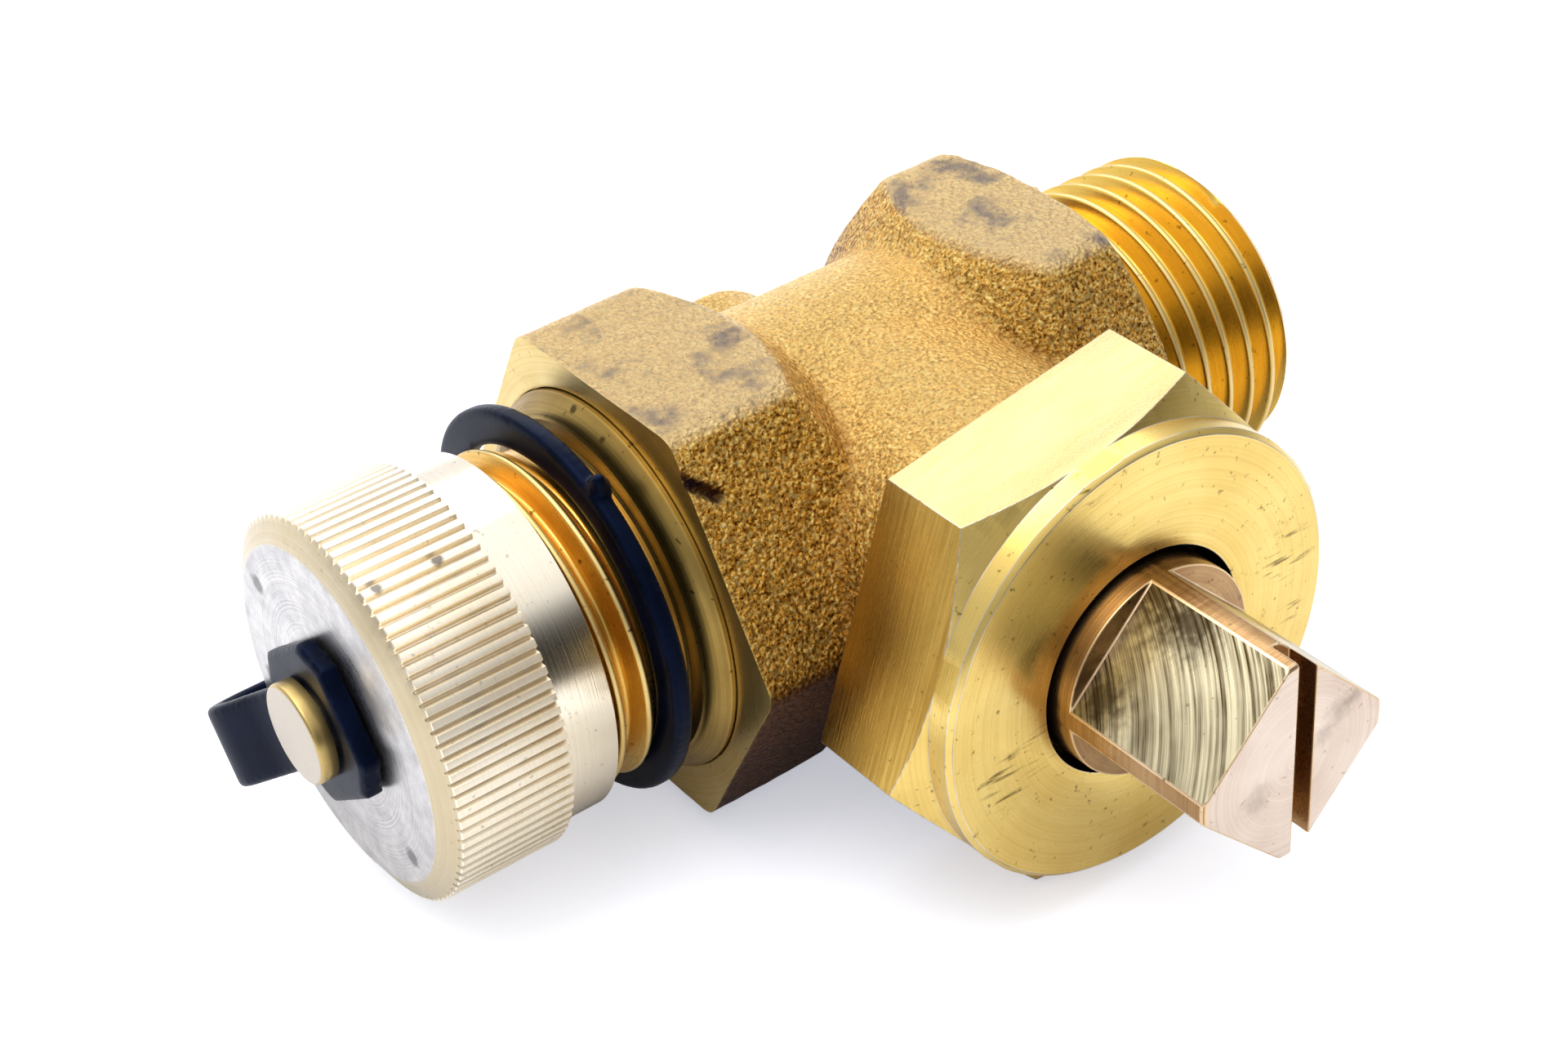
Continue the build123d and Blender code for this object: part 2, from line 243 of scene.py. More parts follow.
# %% [markdown]
# The part lies on the nut's lowest corner and on the rear bottom edges of the body's hexagons.
# The floor is the plane through those three places, so the contact shadows fall as they do on a table.
# Its paper glows a little for camera rays only, so it is pale in the picture but adds no light to the brass.

# %% Floor
nut_middle_y = -17.3 * MM
hex_rear_y = 7.79 * MM
shadow_gap = 0.02 * MM
floor_half = 1.5
nut_low = Vector((spindle_x, nut_middle_y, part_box("gland_nut")[0].z))
hex_low = Vector((spindle_x, hex_rear_y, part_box("valve_body")[0].z))
floor_slope = (hex_low.z - nut_low.z) / (hex_low.y - nut_low.y)
floor_mesh = bpy.data.meshes.new("floor")
corners = []
for side_x, side_y in ((-1, -1), (1, -1), (1, 1), (-1, 1)):
    y = side_y * floor_half
    corners.append((side_x * floor_half, y, nut_low.z + (y - nut_low.y) * floor_slope - shadow_gap))
floor_mesh.from_pydata(corners, [], [(0, 1, 2, 3)])
floor = bpy.data.objects.new("floor", floor_mesh)
bpy.context.scene.collection.objects.link(floor)
paper, tree, _ = finish_named("matt_white_paper", None, Roughness=0.9)
tint = put(tree, "ShaderNodeTexNoise", {"Scale": per_mm(180), "Detail": 2.0}).outputs[0]
sheet = put(tree, "ShaderNodeValToRGB", {0: tint}, stops=((0.3, "#F2F4F8"), (0.7, "#F6F7FA"))).outputs[0]
feed(tree, Base_Color=sheet)
matt = tree.nodes["Principled BSDF"].outputs[0]
glow = put(tree, "ShaderNodeEmission", {"Color": linear("#F2F5FF"), "Strength": 0.5})
both = put(tree, "ShaderNodeAddShader", {0: matt, 1: glow.outputs[0]})
seen = put(tree, "ShaderNodeLightPath").outputs["Is Camera Ray"]
mixed = put(tree, "ShaderNodeMixShader", {0: seen, 1: matt, 2: both.outputs[0]})
tree.links.new(mixed.outputs[0], tree.nodes["Material Output"].inputs["Surface"])
floor_mesh.materials.append(paper)
print("floor slope", round(floor_slope, 4))

# %% [markdown]
# Sand-cast brass: the skin keeps the print of the moulding sand, so it is a bold golden grain with dark
# brown gaps, and it glitters a little. The grit is about a fifth of a millimetre, the grains nearly twice that.
# Each share below says where a tone lies. Faces that look up get a paler painted highlight and their gaps fade,
# the sides and the lower half get a browner painted shade, the hollows an orange-brown painted shade, and the
# edges are rubbed bright.
# Bluish-grey smudges lie on the top flats of the two hexagons only, and a gash crosses the outlet hexagon.

# %% Cast brass
cast_brass, tree, place = finish_named("sand_cast_brass", "cast_brass", Metallic=1.0)
grit = put(tree, "ShaderNodeTexNoise", {"Vector": place, "Scale": per_mm(0.2), "Detail": 5.0,
                                        "Roughness": 0.66}).outputs[0]
clumps = put(tree, "ShaderNodeTexNoise", {"Vector": place, "Scale": per_mm(1.3), "Detail": 4.0}).outputs[0]
drift = put(tree, "ShaderNodeTexNoise", {"Vector": place, "Scale": per_mm(3.2), "Detail": 5.0,
                                         "Roughness": 0.65}).outputs[0]
crooked = put(tree, "ShaderNodeTexNoise", {"Vector": place, "Scale": per_mm(0.5), "Detail": 3.0}).outputs["Color"]
shifted = put(tree, "ShaderNodeVectorMath", {0: crooked, 1: (0.4 * MM, 0.4 * MM, 0.4 * MM), 2: place},
              operation="MULTIPLY_ADD").outputs[0]
grains = put(tree, "ShaderNodeTexVoronoi", {"Vector": shifted, "Scale": per_mm(0.36), "Smoothness": 0.4},
             feature="SMOOTH_F1").outputs["Distance"]
golden = put(tree, "ShaderNodeValToRGB", {0: grit}, stops=(
    (0.36, "#2E1A08"), (0.43, "#C08426"), (0.50, "#F5B945"), (0.61, "#FFEE9C"))).outputs[0]
surface = put(tree, "ShaderNodeNewGeometry").outputs
lift = put(tree, "ShaderNodeSeparateXYZ", {0: surface["True Normal"]}).outputs["Z"]
height = put(tree, "ShaderNodeSeparateXYZ", {0: place}).outputs["Z"]
shares = {}
for name, value, start, end, first, last in (
        ("clumped", clumps, 0.40, 0.72, 0.0, 0.2),
        # Faces that look up get #E2C280, a paler painted highlight.
        ("top_painted_highlight", lift, 0.5, 0.97, 0.0, 0.5),
        ("gap", grains, 0.40, 0.66, 0.0, 0.5),
        # On faces that look up the dark gaps fade: painted light from above.
        ("top_lit_gap_fade", lift, 0.45, 0.95, 1.0, 0.3),
        # Faces that don't look up are multiplied by #8C6A3C: painted shade on the sides.
        ("side", lift, -0.1, 0.85, 1.0, 0.0),
        # 7A5630 darkens the casting towards the bottom: painted shade on the lower half.
        ("low", height, -8 * MM, 6 * MM, 0.75, 0.0),
        # Concave places get #8A5216: an orange-brown painted shade in the hollows and fillets.
        ("hollow_painted_shade", surface["Pointiness"], 0.455, 0.495, 0.6, 0.0),
        ("proud", surface["Pointiness"], 0.51, 0.57, 0.0, 0.35),
        ("top_flat", height, 12.9 * MM, 13.3 * MM, 0.0, 1.0),
        ("patch", drift, 0.52, 0.66, 0.0, 0.7)):
    shares[name] = put(tree, "ShaderNodeMapRange", {"Value": value, "From Min": start, "From Max": end,
                                                    "To Min": first, "To Max": last}).outputs[0]
for name, value, part in (("gap_faded_on_top", shares["gap"], shares["top_lit_gap_fade"]),
                          ("smudge", shares["top_flat"], shares["patch"]),
                          ("greyed", shares["top_flat"], 0.4)):
    shares[name] = put(tree, "ShaderNodeMath", {0: value, 1: part}, operation="MULTIPLY").outputs[0]
aged = layered(tree, golden, (
    (shares["clumped"], "#94682C"), (shares["top_painted_highlight"], "#E2C280"), (shares["gap_faded_on_top"], "#4A2C0E"),
    (shares["side"], "#8C6A3C", "MULTIPLY"), (shares["low"], "#7A5630", "MULTIPLY"),
    (shares["hollow_painted_shade"], "#8A5216"), (shares["proud"], "#FFDD84"),
    (shares["greyed"], "#BFAE92"), (shares["smudge"], "#565461")))
gash_ends = ((-33.36, -8.85, 11.68), (-32.83, -9.17, 11.11), (-32.04, -9.51, 10.52), (-31.45, -9.78, 10.06))
GASH = [Vector(a).lerp(b, k / 3) for a, b in zip(gash_ends, gash_ends[1:]) for k in range(3)]
gashed = marked(tree, place, aged, [(*point, 0.42) for point in GASH], "#1C1018")
dull = put(tree, "ShaderNodeMapRange", {"Value": grit, "From Min": 0.3, "From Max": 0.7,
                                        "To Min": 0.48, "To Max": 0.26}).outputs[0]
lumps = put(tree, "ShaderNodeMath", {0: grit, 1: grains}, operation="SUBTRACT").outputs[0]
sand = put(tree, "ShaderNodeBump", {"Height": lumps, "Strength": 1.0, "Distance": 0.2 * MM}).outputs[0]
feed(tree, Base_Color=gashed, Roughness=dull, Normal=sand)
print("made", cast_brass.name)

# %% [markdown]
# Turned brass carries the tool's feed lines: rings round the axis on a face, hoops on a cylinder.
# Both come from one noise that is read along the axis and out from it, so it has no seam.
# A slow drift of colour and a few dark specks keep it from looking new and painted.

# %% Turned brass
def turned_brass(name, slot_name, pale, deep, shine, ridges=0.2, speck=0.6, axis="X", spread=0.45):
    """Lathe-turned brass about the flow axis (X) or the spindle's axis (Y)."""
    material, tree, place = finish_named(name, slot_name, Metallic=1.0)
    middle = (0, 0, 0) if axis == "X" else (spindle_x, 0, 0)
    from_axis = put(tree, "ShaderNodeVectorMath", {0: place, 1: middle}, operation="SUBTRACT").outputs[0]
    flat_way = (0, 1, 1) if axis == "X" else (1, 0, 1)
    outward = put(tree, "ShaderNodeVectorMath", {0: from_axis, 1: flat_way}, operation="MULTIPLY").outputs[0]
    radius = put(tree, "ShaderNodeVectorMath", {0: outward}, operation="LENGTH").outputs["Value"]
    along = put(tree, "ShaderNodeSeparateXYZ", {0: place}).outputs[axis]
    tool_way = put(tree, "ShaderNodeCombineXYZ", {0: along, 1: radius}).outputs[0]
    lines = put(tree, "ShaderNodeTexNoise", {"Vector": tool_way, "Scale": per_mm(0.16), "Detail": 4.0,
                                             "Roughness": 0.6}).outputs[0]
    drift = put(tree, "ShaderNodeTexNoise", {"Vector": place, "Scale": per_mm(5.0), "Detail": 4.0}).outputs[0]
    shade = put(tree, "ShaderNodeMath", {0: drift, 1: lines}, operation="ADD").outputs[0]
    share = put(tree, "ShaderNodeMapRange", {"Value": shade, "From Min": 1 - spread,
                                             "From Max": 1 + spread}).outputs[0]
    specks = put(tree, "ShaderNodeTexNoise", {"Vector": place, "Scale": per_mm(0.45), "Detail": 3.0}).outputs[0]
    dark = put(tree, "ShaderNodeMapRange", {"Value": specks, "From Min": 0.66, "From Max": 0.74,
                                            "To Min": 0.0, "To Max": speck}).outputs[0]
    specked = layered(tree, linear(deep), ((share, pale), (dark, "#4A3414")))
    rough = put(tree, "ShaderNodeMapRange", {"Value": shade, "From Min": 0.6, "From Max": 1.4,
                                             "To Min": shine * 1.35, "To Max": shine * 0.75}).outputs[0]
    raised = put(tree, "ShaderNodeBump", {"Height": lines, "Strength": ridges, "Distance": 0.04 * MM}).outputs[0]
    feed(tree, Base_Color=specked, Roughness=rough, Normal=raised)
    return material


thread_brass = turned_brass("lathe_cut_thread_brass", "cast_brass", "#F5D06A", "#DDAE48", 0.25, ridges=0.05)
crest_brass = turned_brass("worn_thread_crest_brass", "cast_brass", "#EBD596", "#CFA95C", 0.36, speck=0.8)
outlet_thread = turned_brass("outlet_thread_brass", "turned_brass", "#E9C068", "#C4913C", 0.27, ridges=0.08,
                             speck=0.8)
faced_brass = turned_brass("machined_face_brass", "cast_brass", "#EBD596", "#C2A050", 0.30)
collar_brass = turned_brass("turned_collar_brass", "turned_brass", "#B89A56", "#7C602A", 0.32, speck=0.9)
tree, place, colour = colour_of(collar_brass)
collar_pits = ((-34.0, 1.1, 11.84, 0.3), (-34.0, -2.1, 11.2, 0.25))
feed(tree, Base_Color=marked(tree, place, colour, collar_pits, "#2A1C0C"))
print("made", thread_brass.name, crest_brass.name, outlet_thread.name, faced_brass.name, collar_brass.name)

# %% [markdown]
# Milled brass has straight lines that run one way over a flat. They come from a noise that is
# drawn out along one direction in space and close across it, and they lie in both colour and bump.
# A fly cutter swings, so its stripes bend: their place across the flat moves with the square of the length.

# %% Milled brass
def milled_brass(name, slot_name, pale, deep, shine, way, spacing, contrast, drawn_out=0.03, across=None,
                 curl=0.0, unbent=0.0):
    """Milled brass with lines along a way; across gives one set of stripes that bend away from unbent."""
    material, tree, place = finish_named(name, slot_name, Metallic=1.0)
    way = Vector(way).normalized()
    side = way.cross(Vector((0.31, 0.17, 0.94))).normalized()
    sideways = (Vector(across), Vector()) if across else (side, way.cross(side))
    shares = []
    for axis in (*sideways, way * drawn_out, way):
        shares.append(put(tree, "ShaderNodeVectorMath", {0: place, 1: axis},
                          operation="DOT_PRODUCT").outputs["Value"])
    if across:
        length = put(tree, "ShaderNodeMath", {0: shares[3], 1: unbent}, operation="SUBTRACT").outputs[0]
        bend = put(tree, "ShaderNodeMath", {0: length, 1: length}, operation="MULTIPLY").outputs[0]
        shares[0] = put(tree, "ShaderNodeMath", {0: bend, 1: curl, 2: shares[0]},
                        operation="MULTIPLY_ADD").outputs[0]
    drawn = put(tree, "ShaderNodeCombineXYZ", {0: shares[0], 1: shares[1], 2: shares[2]}).outputs[0]
    lines = put(tree, "ShaderNodeTexNoise", {"Vector": drawn, "Scale": per_mm(spacing), "Detail": 5.0,
                                             "Roughness": 0.6}).outputs[0]
    drift = put(tree, "ShaderNodeTexNoise", {"Vector": place, "Scale": per_mm(6.0), "Detail": 3.0}).outputs[0]
    blend = put(tree, "ShaderNodeMix", {0: 0.3, 2: lines, 3: drift}).outputs[0]
    share = put(tree, "ShaderNodeMapRange", {"Value": blend, "From Min": 0.5 - contrast,
                                             "From Max": 0.5 + contrast}).outputs[0]
    specks = put(tree, "ShaderNodeTexNoise", {"Vector": place, "Scale": per_mm(0.5), "Detail": 3.0}).outputs[0]
    dark = put(tree, "ShaderNodeMapRange", {"Value": specks, "From Min": 0.68, "From Max": 0.75,
                                            "To Min": 0.0, "To Max": 0.5}).outputs[0]
    specked = layered(tree, linear(deep), ((share, pale), (dark, "#4A3414")))
    rough = put(tree, "ShaderNodeMapRange", {"Value": lines, "From Min": 0.3, "From Max": 0.7,
                                             "To Min": shine * 1.3, "To Max": shine * 0.8}).outputs[0]
    raised = put(tree, "ShaderNodeBump", {"Height": lines, "Strength": 0.35, "Distance": 0.05 * MM}).outputs[0]
    feed(tree, Base_Color=specked, Roughness=rough, Normal=raised)
    return material


# %% [markdown]
# Every machined edge on the real part is broken a little, and that small round is what catches the light.
# This helper copies a CAD node, joins its flat triangles into whole faces and bevels the sharp edges.
# The new bevel faces get the second material, because edges are where bare brass wears.

# %% Softened copies of CAD nodes
def new_piece(name, bm, materials):
    """A mesh object from a bmesh, smooth-shaded, with its materials."""
    mesh = bpy.data.meshes.new(name)
    bm.to_mesh(mesh)
    bm.free()
    for material in materials:
        mesh.materials.append(material)
    piece = bpy.data.objects.new(name, mesh)
    bpy.context.scene.collection.objects.link(piece)
    mesh.shade_smooth()
    mesh.set_sharp_from_angle(angle=radians(32))
    return piece


def softened_copy(node, width, materials, sort=None):
    """A copy of a CAD node with its sharp edges bevelled; sort gives the material of a plain face."""
    bm = bmesh.new()
    bm.from_mesh(nodes[node].data)
    bmesh.ops.remove_doubles(bm, verts=bm.verts, dist=WELD)
    bmesh.ops.dissolve_limit(bm, angle_limit=radians(0.6), verts=bm.verts, edges=bm.edges)
    bm.normal_update()
    for face in bm.faces:
        face.material_index = sort(face.calc_center_median(), face.normal) if sort else 0
    sharp = [e for e in bm.edges if len(e.link_faces) == 2 and e.calc_face_angle(0) > radians(20)]
    made = bmesh.ops.bevel(bm, geom=sharp, offset=width, segments=2, profile=0.6,
                           affect="EDGES", clamp_overlap=True)
    for face in made["faces"]:
        face.material_index = 1
    piece = new_piece(node + "_dressed", bm, materials)
    print(node, "edges softened:", len(sharp), "faces:", len(piece.data.polygons))
    return piece


# %% [markdown]
# The casting has no truly sharp edge: sand can't hold one. So its skin is taken from the CAD body with the
# bores filled by cores, remeshed in small voxels, smoothed, and roughened by a slow and a quick noise.
# The outlet face was then machined, so it is pushed out here and cut flat again after the smoothing.

# %% Casting skin
def add_core(bm, start, end, radius):
    """A closed cylinder between two places, which fills a bore."""
    way = Vector(end) - Vector(start)
    turn = way.to_track_quat("Z", "Y").to_matrix().to_4x4()
    place = Matrix.Translation((Vector(start) + Vector(end)) / 2) @ turn
    bmesh.ops.create_cone(bm, cap_ends=True, segments=72, radius1=radius, radius2=radius, depth=way.length,
                          matrix=place)


bm = bmesh.new()
bm.from_mesh(nodes["valve_body"].data)
bmesh.ops.remove_doubles(bm, verts=bm.verts, dist=WELD)
spare = 1.5 * MM
for vert in bm.verts:
    if vert.co.x < outlet_face + 0.01 * MM:
        vert.co.x -= spare
housing_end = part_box("valve_body")[0].y
add_core(bm, (outlet_face - spare, 0, 0), (outlet_face + 9 * MM, 0, 0), 12.6 * MM)
add_core(bm, (outlet_face + 8 * MM, 0, 0), (6 * MM, 0, 0), 7.8 * MM)
add_core(bm, (spindle_x, housing_end + 0.1 * MM, 0), (spindle_x, 2 * MM, 0), 9.3 * MM)
add_core(bm, (spindle_x, 0, 0), (spindle_x, 9 * MM, 0), 6.9 * MM)
skin = new_piece("skin", bm, [])
voxels = skin.modifiers.new("voxels", "REMESH")
voxels.mode = "VOXEL"
voxels.voxel_size = 0.3 * MM
relax = skin.modifiers.new("relax", "SMOOTH")
relax.factor = 0.5
relax.iterations = 5
bm = bmesh.new()
bm.from_mesh(bpy.data.meshes.new_from_object(skin.evaluated_get(bpy.context.evaluated_depsgraph_get())))
bpy.data.objects.remove(skin)
print("casting skin faces:", len(bm.faces))

# %% [markdown]
# A slow noise gives the flats the slight waviness of a casting, and a quick one the lumps of the sand.
# The gash is pressed half a millimetre into the skin along its line of points.
# The outlet face and the ring round the collar are rebuilt as a flat, clean machined face.

# %% Sand print and machined face
# Heights of the waves and the lumps, and the reach and depth of the gash, in mm
WAVE, LUMP, GASH_REACH, GASH_DEPTH = 0.05, 0.028, 0.5, 0.5
bm.normal_update()
for vert in bm.verts:
    slow = noise.noise(vert.co / (4.5 * MM))
    quick = noise.noise(vert.co / (0.9 * MM) + Vector((7, 3, 1)))
    nearest = min((vert.co - point * MM).length for point in GASH)
    torn = max(0.0, 1 - nearest / (GASH_REACH * MM)) * GASH_DEPTH
    vert.co += vert.normal * (WAVE * slow + LUMP * quick - torn) * MM
bmesh.ops.bisect_plane(bm, geom=bm.verts[:] + bm.edges[:] + bm.faces[:], dist=1e-7,
                       plane_co=(outlet_face, 0, 0), plane_no=(-1, 0, 0), clear_outer=True)
blank = [f for f in bm.faces if f.calc_center_median().x > 0.25 * MM]
bmesh.ops.delete(bm, geom=blank, context="FACES")


COLUMNS = 144


def ring_of(bm, x, radius):
    """A ring of vertices round the flow axis."""
    angles = [2 * pi * i / COLUMNS for i in range(COLUMNS)]
    return [bm.verts.new((x, radius * cos(a), radius * sin(a))) for a in angles]


def join_rings(bm, first, second, material):
    """Quads between two rings of the same count."""
    count = len(first)
    for i in range(count):
        j = (i + 1) % count
        face = bm.faces.new((first[i], first[j], second[j], second[i]))
        face.material_index = material


def fill_between(bm, edges, x, radius, material):
    """Fills from a closed run of edges in to a new ring, and returns the ring."""
    ring = ring_of(bm, x, radius)
    ring_edges = [bm.edges.new((ring[i], ring[(i + 1) % COLUMNS])) for i in range(COLUMNS)]
    made = bmesh.ops.triangle_fill(bm, edges=edges + ring_edges, use_beauty=True, use_dissolve=False)
    for face in made["geom"]:
        if isinstance(face, bmesh.types.BMFace):
            face.material_index = material
    return ring


def add_rings(bm, ring, places, material):
    """Carries a ring on through places given as (x, radius) in metres, and returns the last ring."""
    for x, radius in places:
        following = ring_of(bm, x, radius)
        join_rings(bm, ring, following, material)
        ring = following
    return ring


rim = [e for e in bm.edges if e.is_boundary and all(v.co.x < outlet_face + 0.01 * MM for v in e.verts)]
recess_r, recess_floor, socket_r, inlet_r = 12.2 * MM, outlet_face + 0.6 * MM, 10.45 * MM, 7.02 * MM
recess = fill_between(bm, rim, outlet_face, recess_r, 1)
hole = [e for e in bm.edges if e.is_boundary and all(v.co.x > -0.6 * MM for v in e.verts)]
socket_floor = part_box("adapter_gasket")[1].x
flow_r = 4.75 * MM
flow_end = -8.6 * MM
add_rings(bm, recess, ((recess_floor, recess_r), (recess_floor, socket_r), (socket_floor, socket_r),
                       (socket_floor, flow_r), (2 * spindle_x - flow_end, flow_r)), 1)
bore = fill_between(bm, hole, -0.2 * MM, inlet_r, 2)
add_rings(bm, bore, ((-4.7 * MM, inlet_r), (-6.05 * MM, flow_r), (flow_end, flow_r)), 2)
bmesh.ops.recalc_face_normals(bm, faces=bm.faces)
print("skin after machining:", len(bm.faces), "faces")

# %% [markdown]
# A pipe thread is a ridge that winds round the spigot: 1.814 mm on for each turn, 55 degrees at the flanks,
# with crest and root rounded. One sheared sheet of vertices follows the helix exactly, so the crest stays
# a clean line, and two plane cuts give the thread its ends.

# %% Thread helper
PITCH = 1.814 * MM
THREAD_R = 10.4775 * MM
THREAD_DEPTH = 0.640327 * PITCH
# Place within one pitch, share of the thread's depth, and whether the strip that follows is crest.
# Crest and root are arcs, and the flanks between them are straight at 27.5 degrees each side.
HALF_FORM = ((0.045, 0.012, 1), (0.09, 0.053, 0), (0.122, 0.115, 0), (0.14, 0.170, 0), (0.36, 0.830, 0),
             (0.378, 0.885, 0), (0.41, 0.947, 0), (0.455, 0.988, 0))
THREAD_FORM = ((0.0, 0.0, 1),) + HALF_FORM + tuple(
    (1 - share, drop, 1 if drop < 0.06 else 0) for share, drop, _ in reversed(HALF_FORM))


def threaded_sheet(crest_x, from_x, to_x, chamfer, slots):
    """A helical sheet with a crest through crest_x on the top side, cut between two places."""
    bm = bmesh.new()
    low = int((min(from_x, to_x) - crest_x) / PITCH) - 2
    high = int((max(from_x, to_x) - crest_x) / PITCH) + 3
    rows = []
    for turn in range(low, high):
        for share, drop, crest in THREAD_FORM:
            row = []
            for i in range(COLUMNS):
                angle = 2 * pi * i / COLUMNS
                x = crest_x + (turn + share + i / COLUMNS - 0.25) * PITCH
                radius = THREAD_R - THREAD_DEPTH * drop
                radius = min(radius, THREAD_R - chamfer + abs(x - to_x) * 0.9)
                row.append(bm.verts.new((x, radius * cos(angle), radius * sin(angle))))
            rows.append((row, crest))
    count = len(THREAD_FORM)
    for r in range(len(rows) - count - 1):
        for i in range(COLUMNS):
            if i + 1 < COLUMNS:
                near, far = rows[r][0][i + 1], rows[r + 1][0][i + 1]
            else:
                near, far = rows[r + count][0][0], rows[r + count + 1][0][0]
            face = bm.faces.new((rows[r][0][i], near, far, rows[r + 1][0][i]))
            face.material_index = slots[rows[r][1]]
    for place, side in ((from_x, -1), (to_x, 1)):
        outward = side if to_x > from_x else -side
        bmesh.ops.bisect_plane(bm, geom=bm.verts[:] + bm.edges[:] + bm.faces[:], dist=1e-7,
                               plane_co=(place, 0, 0), plane_no=(outward, 0, 0), clear_outer=True)
    return bm


def close_end(bm, x, radius, material):
    """Fills between the sheet's cut end and a new ring, and returns the ring."""
    edge = [e for e in bm.edges if e.is_boundary and all(abs(v.co.x - x) < 0.003 * MM for v in e.verts)]
    return fill_between(bm, edge, x, radius, material)


def face_out(bm):
    """Turns all faces so that the threaded outside faces away from the flow axis."""
    bmesh.ops.recalc_face_normals(bm, faces=bm.faces)
    bm.normal_update()
    outside = 0
    for face in bm.faces:
        middle = face.calc_center_median()
        if hypot(middle.y, middle.z) > 9.2 * MM:
            outside += (face.normal.y * middle.y + face.normal.z * middle.z) * face.calc_area()
    if outside < 0:
        bmesh.ops.reverse_faces(bm, faces=bm.faces)


# %% [markdown]
# The inlet spigot: the thread, its flat end, and the bore that leads in to the plug.
# It joins the casting's skin as one piece, because the real body is one casting.

# %% Inlet spigot and body
inlet_crest_x = 11.829 * MM
spigot_foot = -0.5 * MM
bore_r = 7.0 * MM
spigot = threaded_sheet(inlet_crest_x, spigot_foot, inlet_end, 0.7 * MM, (2, 3))
foot = close_end(spigot, spigot_foot, bore_r, 2)
mouth = close_end(spigot, inlet_end, bore_r + 0.3 * MM, 2)
chamfer = add_rings(spigot, mouth, ((inlet_end - 0.3 * MM, bore_r),), 2)
join_rings(spigot, chamfer, foot, 2)
face_out(spigot)
spigot_mesh = bpy.data.meshes.new("spigot")
spigot.to_mesh(spigot_mesh)
spigot.free()
bm.from_mesh(spigot_mesh)
body = new_piece("body_casting", bm, [cast_brass, faced_brass, thread_brass, crest_brass])
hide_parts("valve_body")
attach(body, "cock_body")
print("body faces:", len(body.data.polygons))

# %% [markdown]
# The outlet adapter is turned from bar: a coned collar with a bright lip, a neck that takes the strap's ring,
# and the outlet thread. Only two turns of that thread show behind the cap, but it is cut to the end,
# because the cap screws off.

# %% Outlet adapter
outlet_crest_x = -38.526 * MM
neck_x = outlet_face - 4.1 * MM
inner_end = -26.65 * MM
bm = threaded_sheet(outlet_crest_x, neck_x, adapter_end, 0.6 * MM, (1, 2))
neck = close_end(bm, neck_x, 9.5 * MM, 0)
bore = close_end(bm, adapter_end, bore_r, 1)
# The collar's outline from the neck to the socket: place from the outlet face and radius, in mm
profile = ((-1.55, 9.5), (-1.41, 9.62), (-1.40, 10.75), (-1.33, 10.85), (-1.25, 10.98), (-1.18, 11.25),
           (-0.45, 12.0), (-0.30, 12.1), (0.5, 12.1), (0.6, 12.0), (0.6, 10.42))
collar = [(outlet_face + shift * MM, radius * MM) for shift, radius in profile]
neck_end = add_rings(bm, neck, collar[:1], 1)
inner = add_rings(bm, neck_end, collar[1:] + [(inner_end, collar[-1][1]), (inner_end, bore_r)], 0)
join_rings(bm, inner, bore, 1)
print("adapter open edges:", sum(e.is_boundary for e in bm.edges))
face_out(bm)
adapter = new_piece("adapter_turned", bm, [collar_brass, outlet_thread, crest_brass])
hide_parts("outlet_adapter")
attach(adapter, "cock_body")
print("adapter faces:", len(adapter.data.polygons))

# %% [markdown]
# The gland nut is a yellow brass bar: milled hexagon, turned shoulder, faced boss.
# Its flats carry fine diagonal brush lines and its boss face the rings of the facing tool.
# The flat that faces up gets a paler painted highlight, streaked along the milling, and cross-hatched scratches
# lie in a few places on the boss.
# The flats just graze the boss, so that sliver gets the boss's colour; the spindle's hole gets a near-black
# painted shade.

# %% Nut brass and gland nut
BOSS_BAND_Y = -24.62 * MM
brush_way = (0.352, 0.0, 0.936)
nut_flats = milled_brass("milled_yellow_brass", "milled_brass", "#DDBA64", "#A67C30", 0.26, brush_way, 0.16, 0.25)
worn_edge = turned_brass("worn_bright_edge", "milled_brass", "#EFE2C6", "#8A7E6A", 0.36, speck=1.0, axis="Y",
                         spread=0.2)
nut_turned = turned_brass("turned_yellow_brass", "milled_brass", "#F6D986", "#D9B45A", 0.27, axis="Y")
# Near-black brass for the wall of the spindle's hole: painted shade in the gap round the stem.
shaded_hole_brass = turned_brass("painted_shade_hole", "milled_brass", "#2A1D0C", "#0E0905", 0.5, axis="Y")

tree, place, colour = colour_of(nut_flats)
normal = put(tree, "ShaderNodeNewGeometry").outputs["True Normal"]
lift = put(tree, "ShaderNodeSeparateXYZ", {0: normal}).outputs["Z"]
streak_way = put(tree, "ShaderNodeMapping", {"Vector": place, "Rotation": (0, radians(9.4), 0),
                                             "Scale": (0.1, 1, 1)}).outputs[0]
streaks = put(tree, "ShaderNodeTexNoise", {"Vector": streak_way, "Scale": per_mm(0.7), "Detail": 5.0}).outputs[0]
milling_streak_share = put(tree, "ShaderNodeMapRange", {"Value": streaks, "From Min": 0.3, "From Max": 0.7,
                                          "To Min": 1.0, "To Max": 0.7}).outputs[0]
up_face = put(tree, "ShaderNodeMapRange", {"Value": lift, "From Min": 0.9, "From Max": 0.97}).outputs[0]
top_flat_painted_highlight = put(tree, "ShaderNodeMath", {0: milling_streak_share, 1: up_face}, operation="MULTIPLY").outputs[0]
forward = put(tree, "ShaderNodeSeparateXYZ", {0: place}).outputs["Y"]
on_band = put(tree, "ShaderNodeMath", {0: forward, 1: BOSS_BAND_Y}, operation="LESS_THAN").outputs[0]
# The flat that faces up gets #CCAE7E, a paler painted highlight streaked along the milling.
feed(tree, Base_Color=layered(tree, colour, ((top_flat_painted_highlight, "#CCAE7E"), (on_band, "#DDBE68"))))

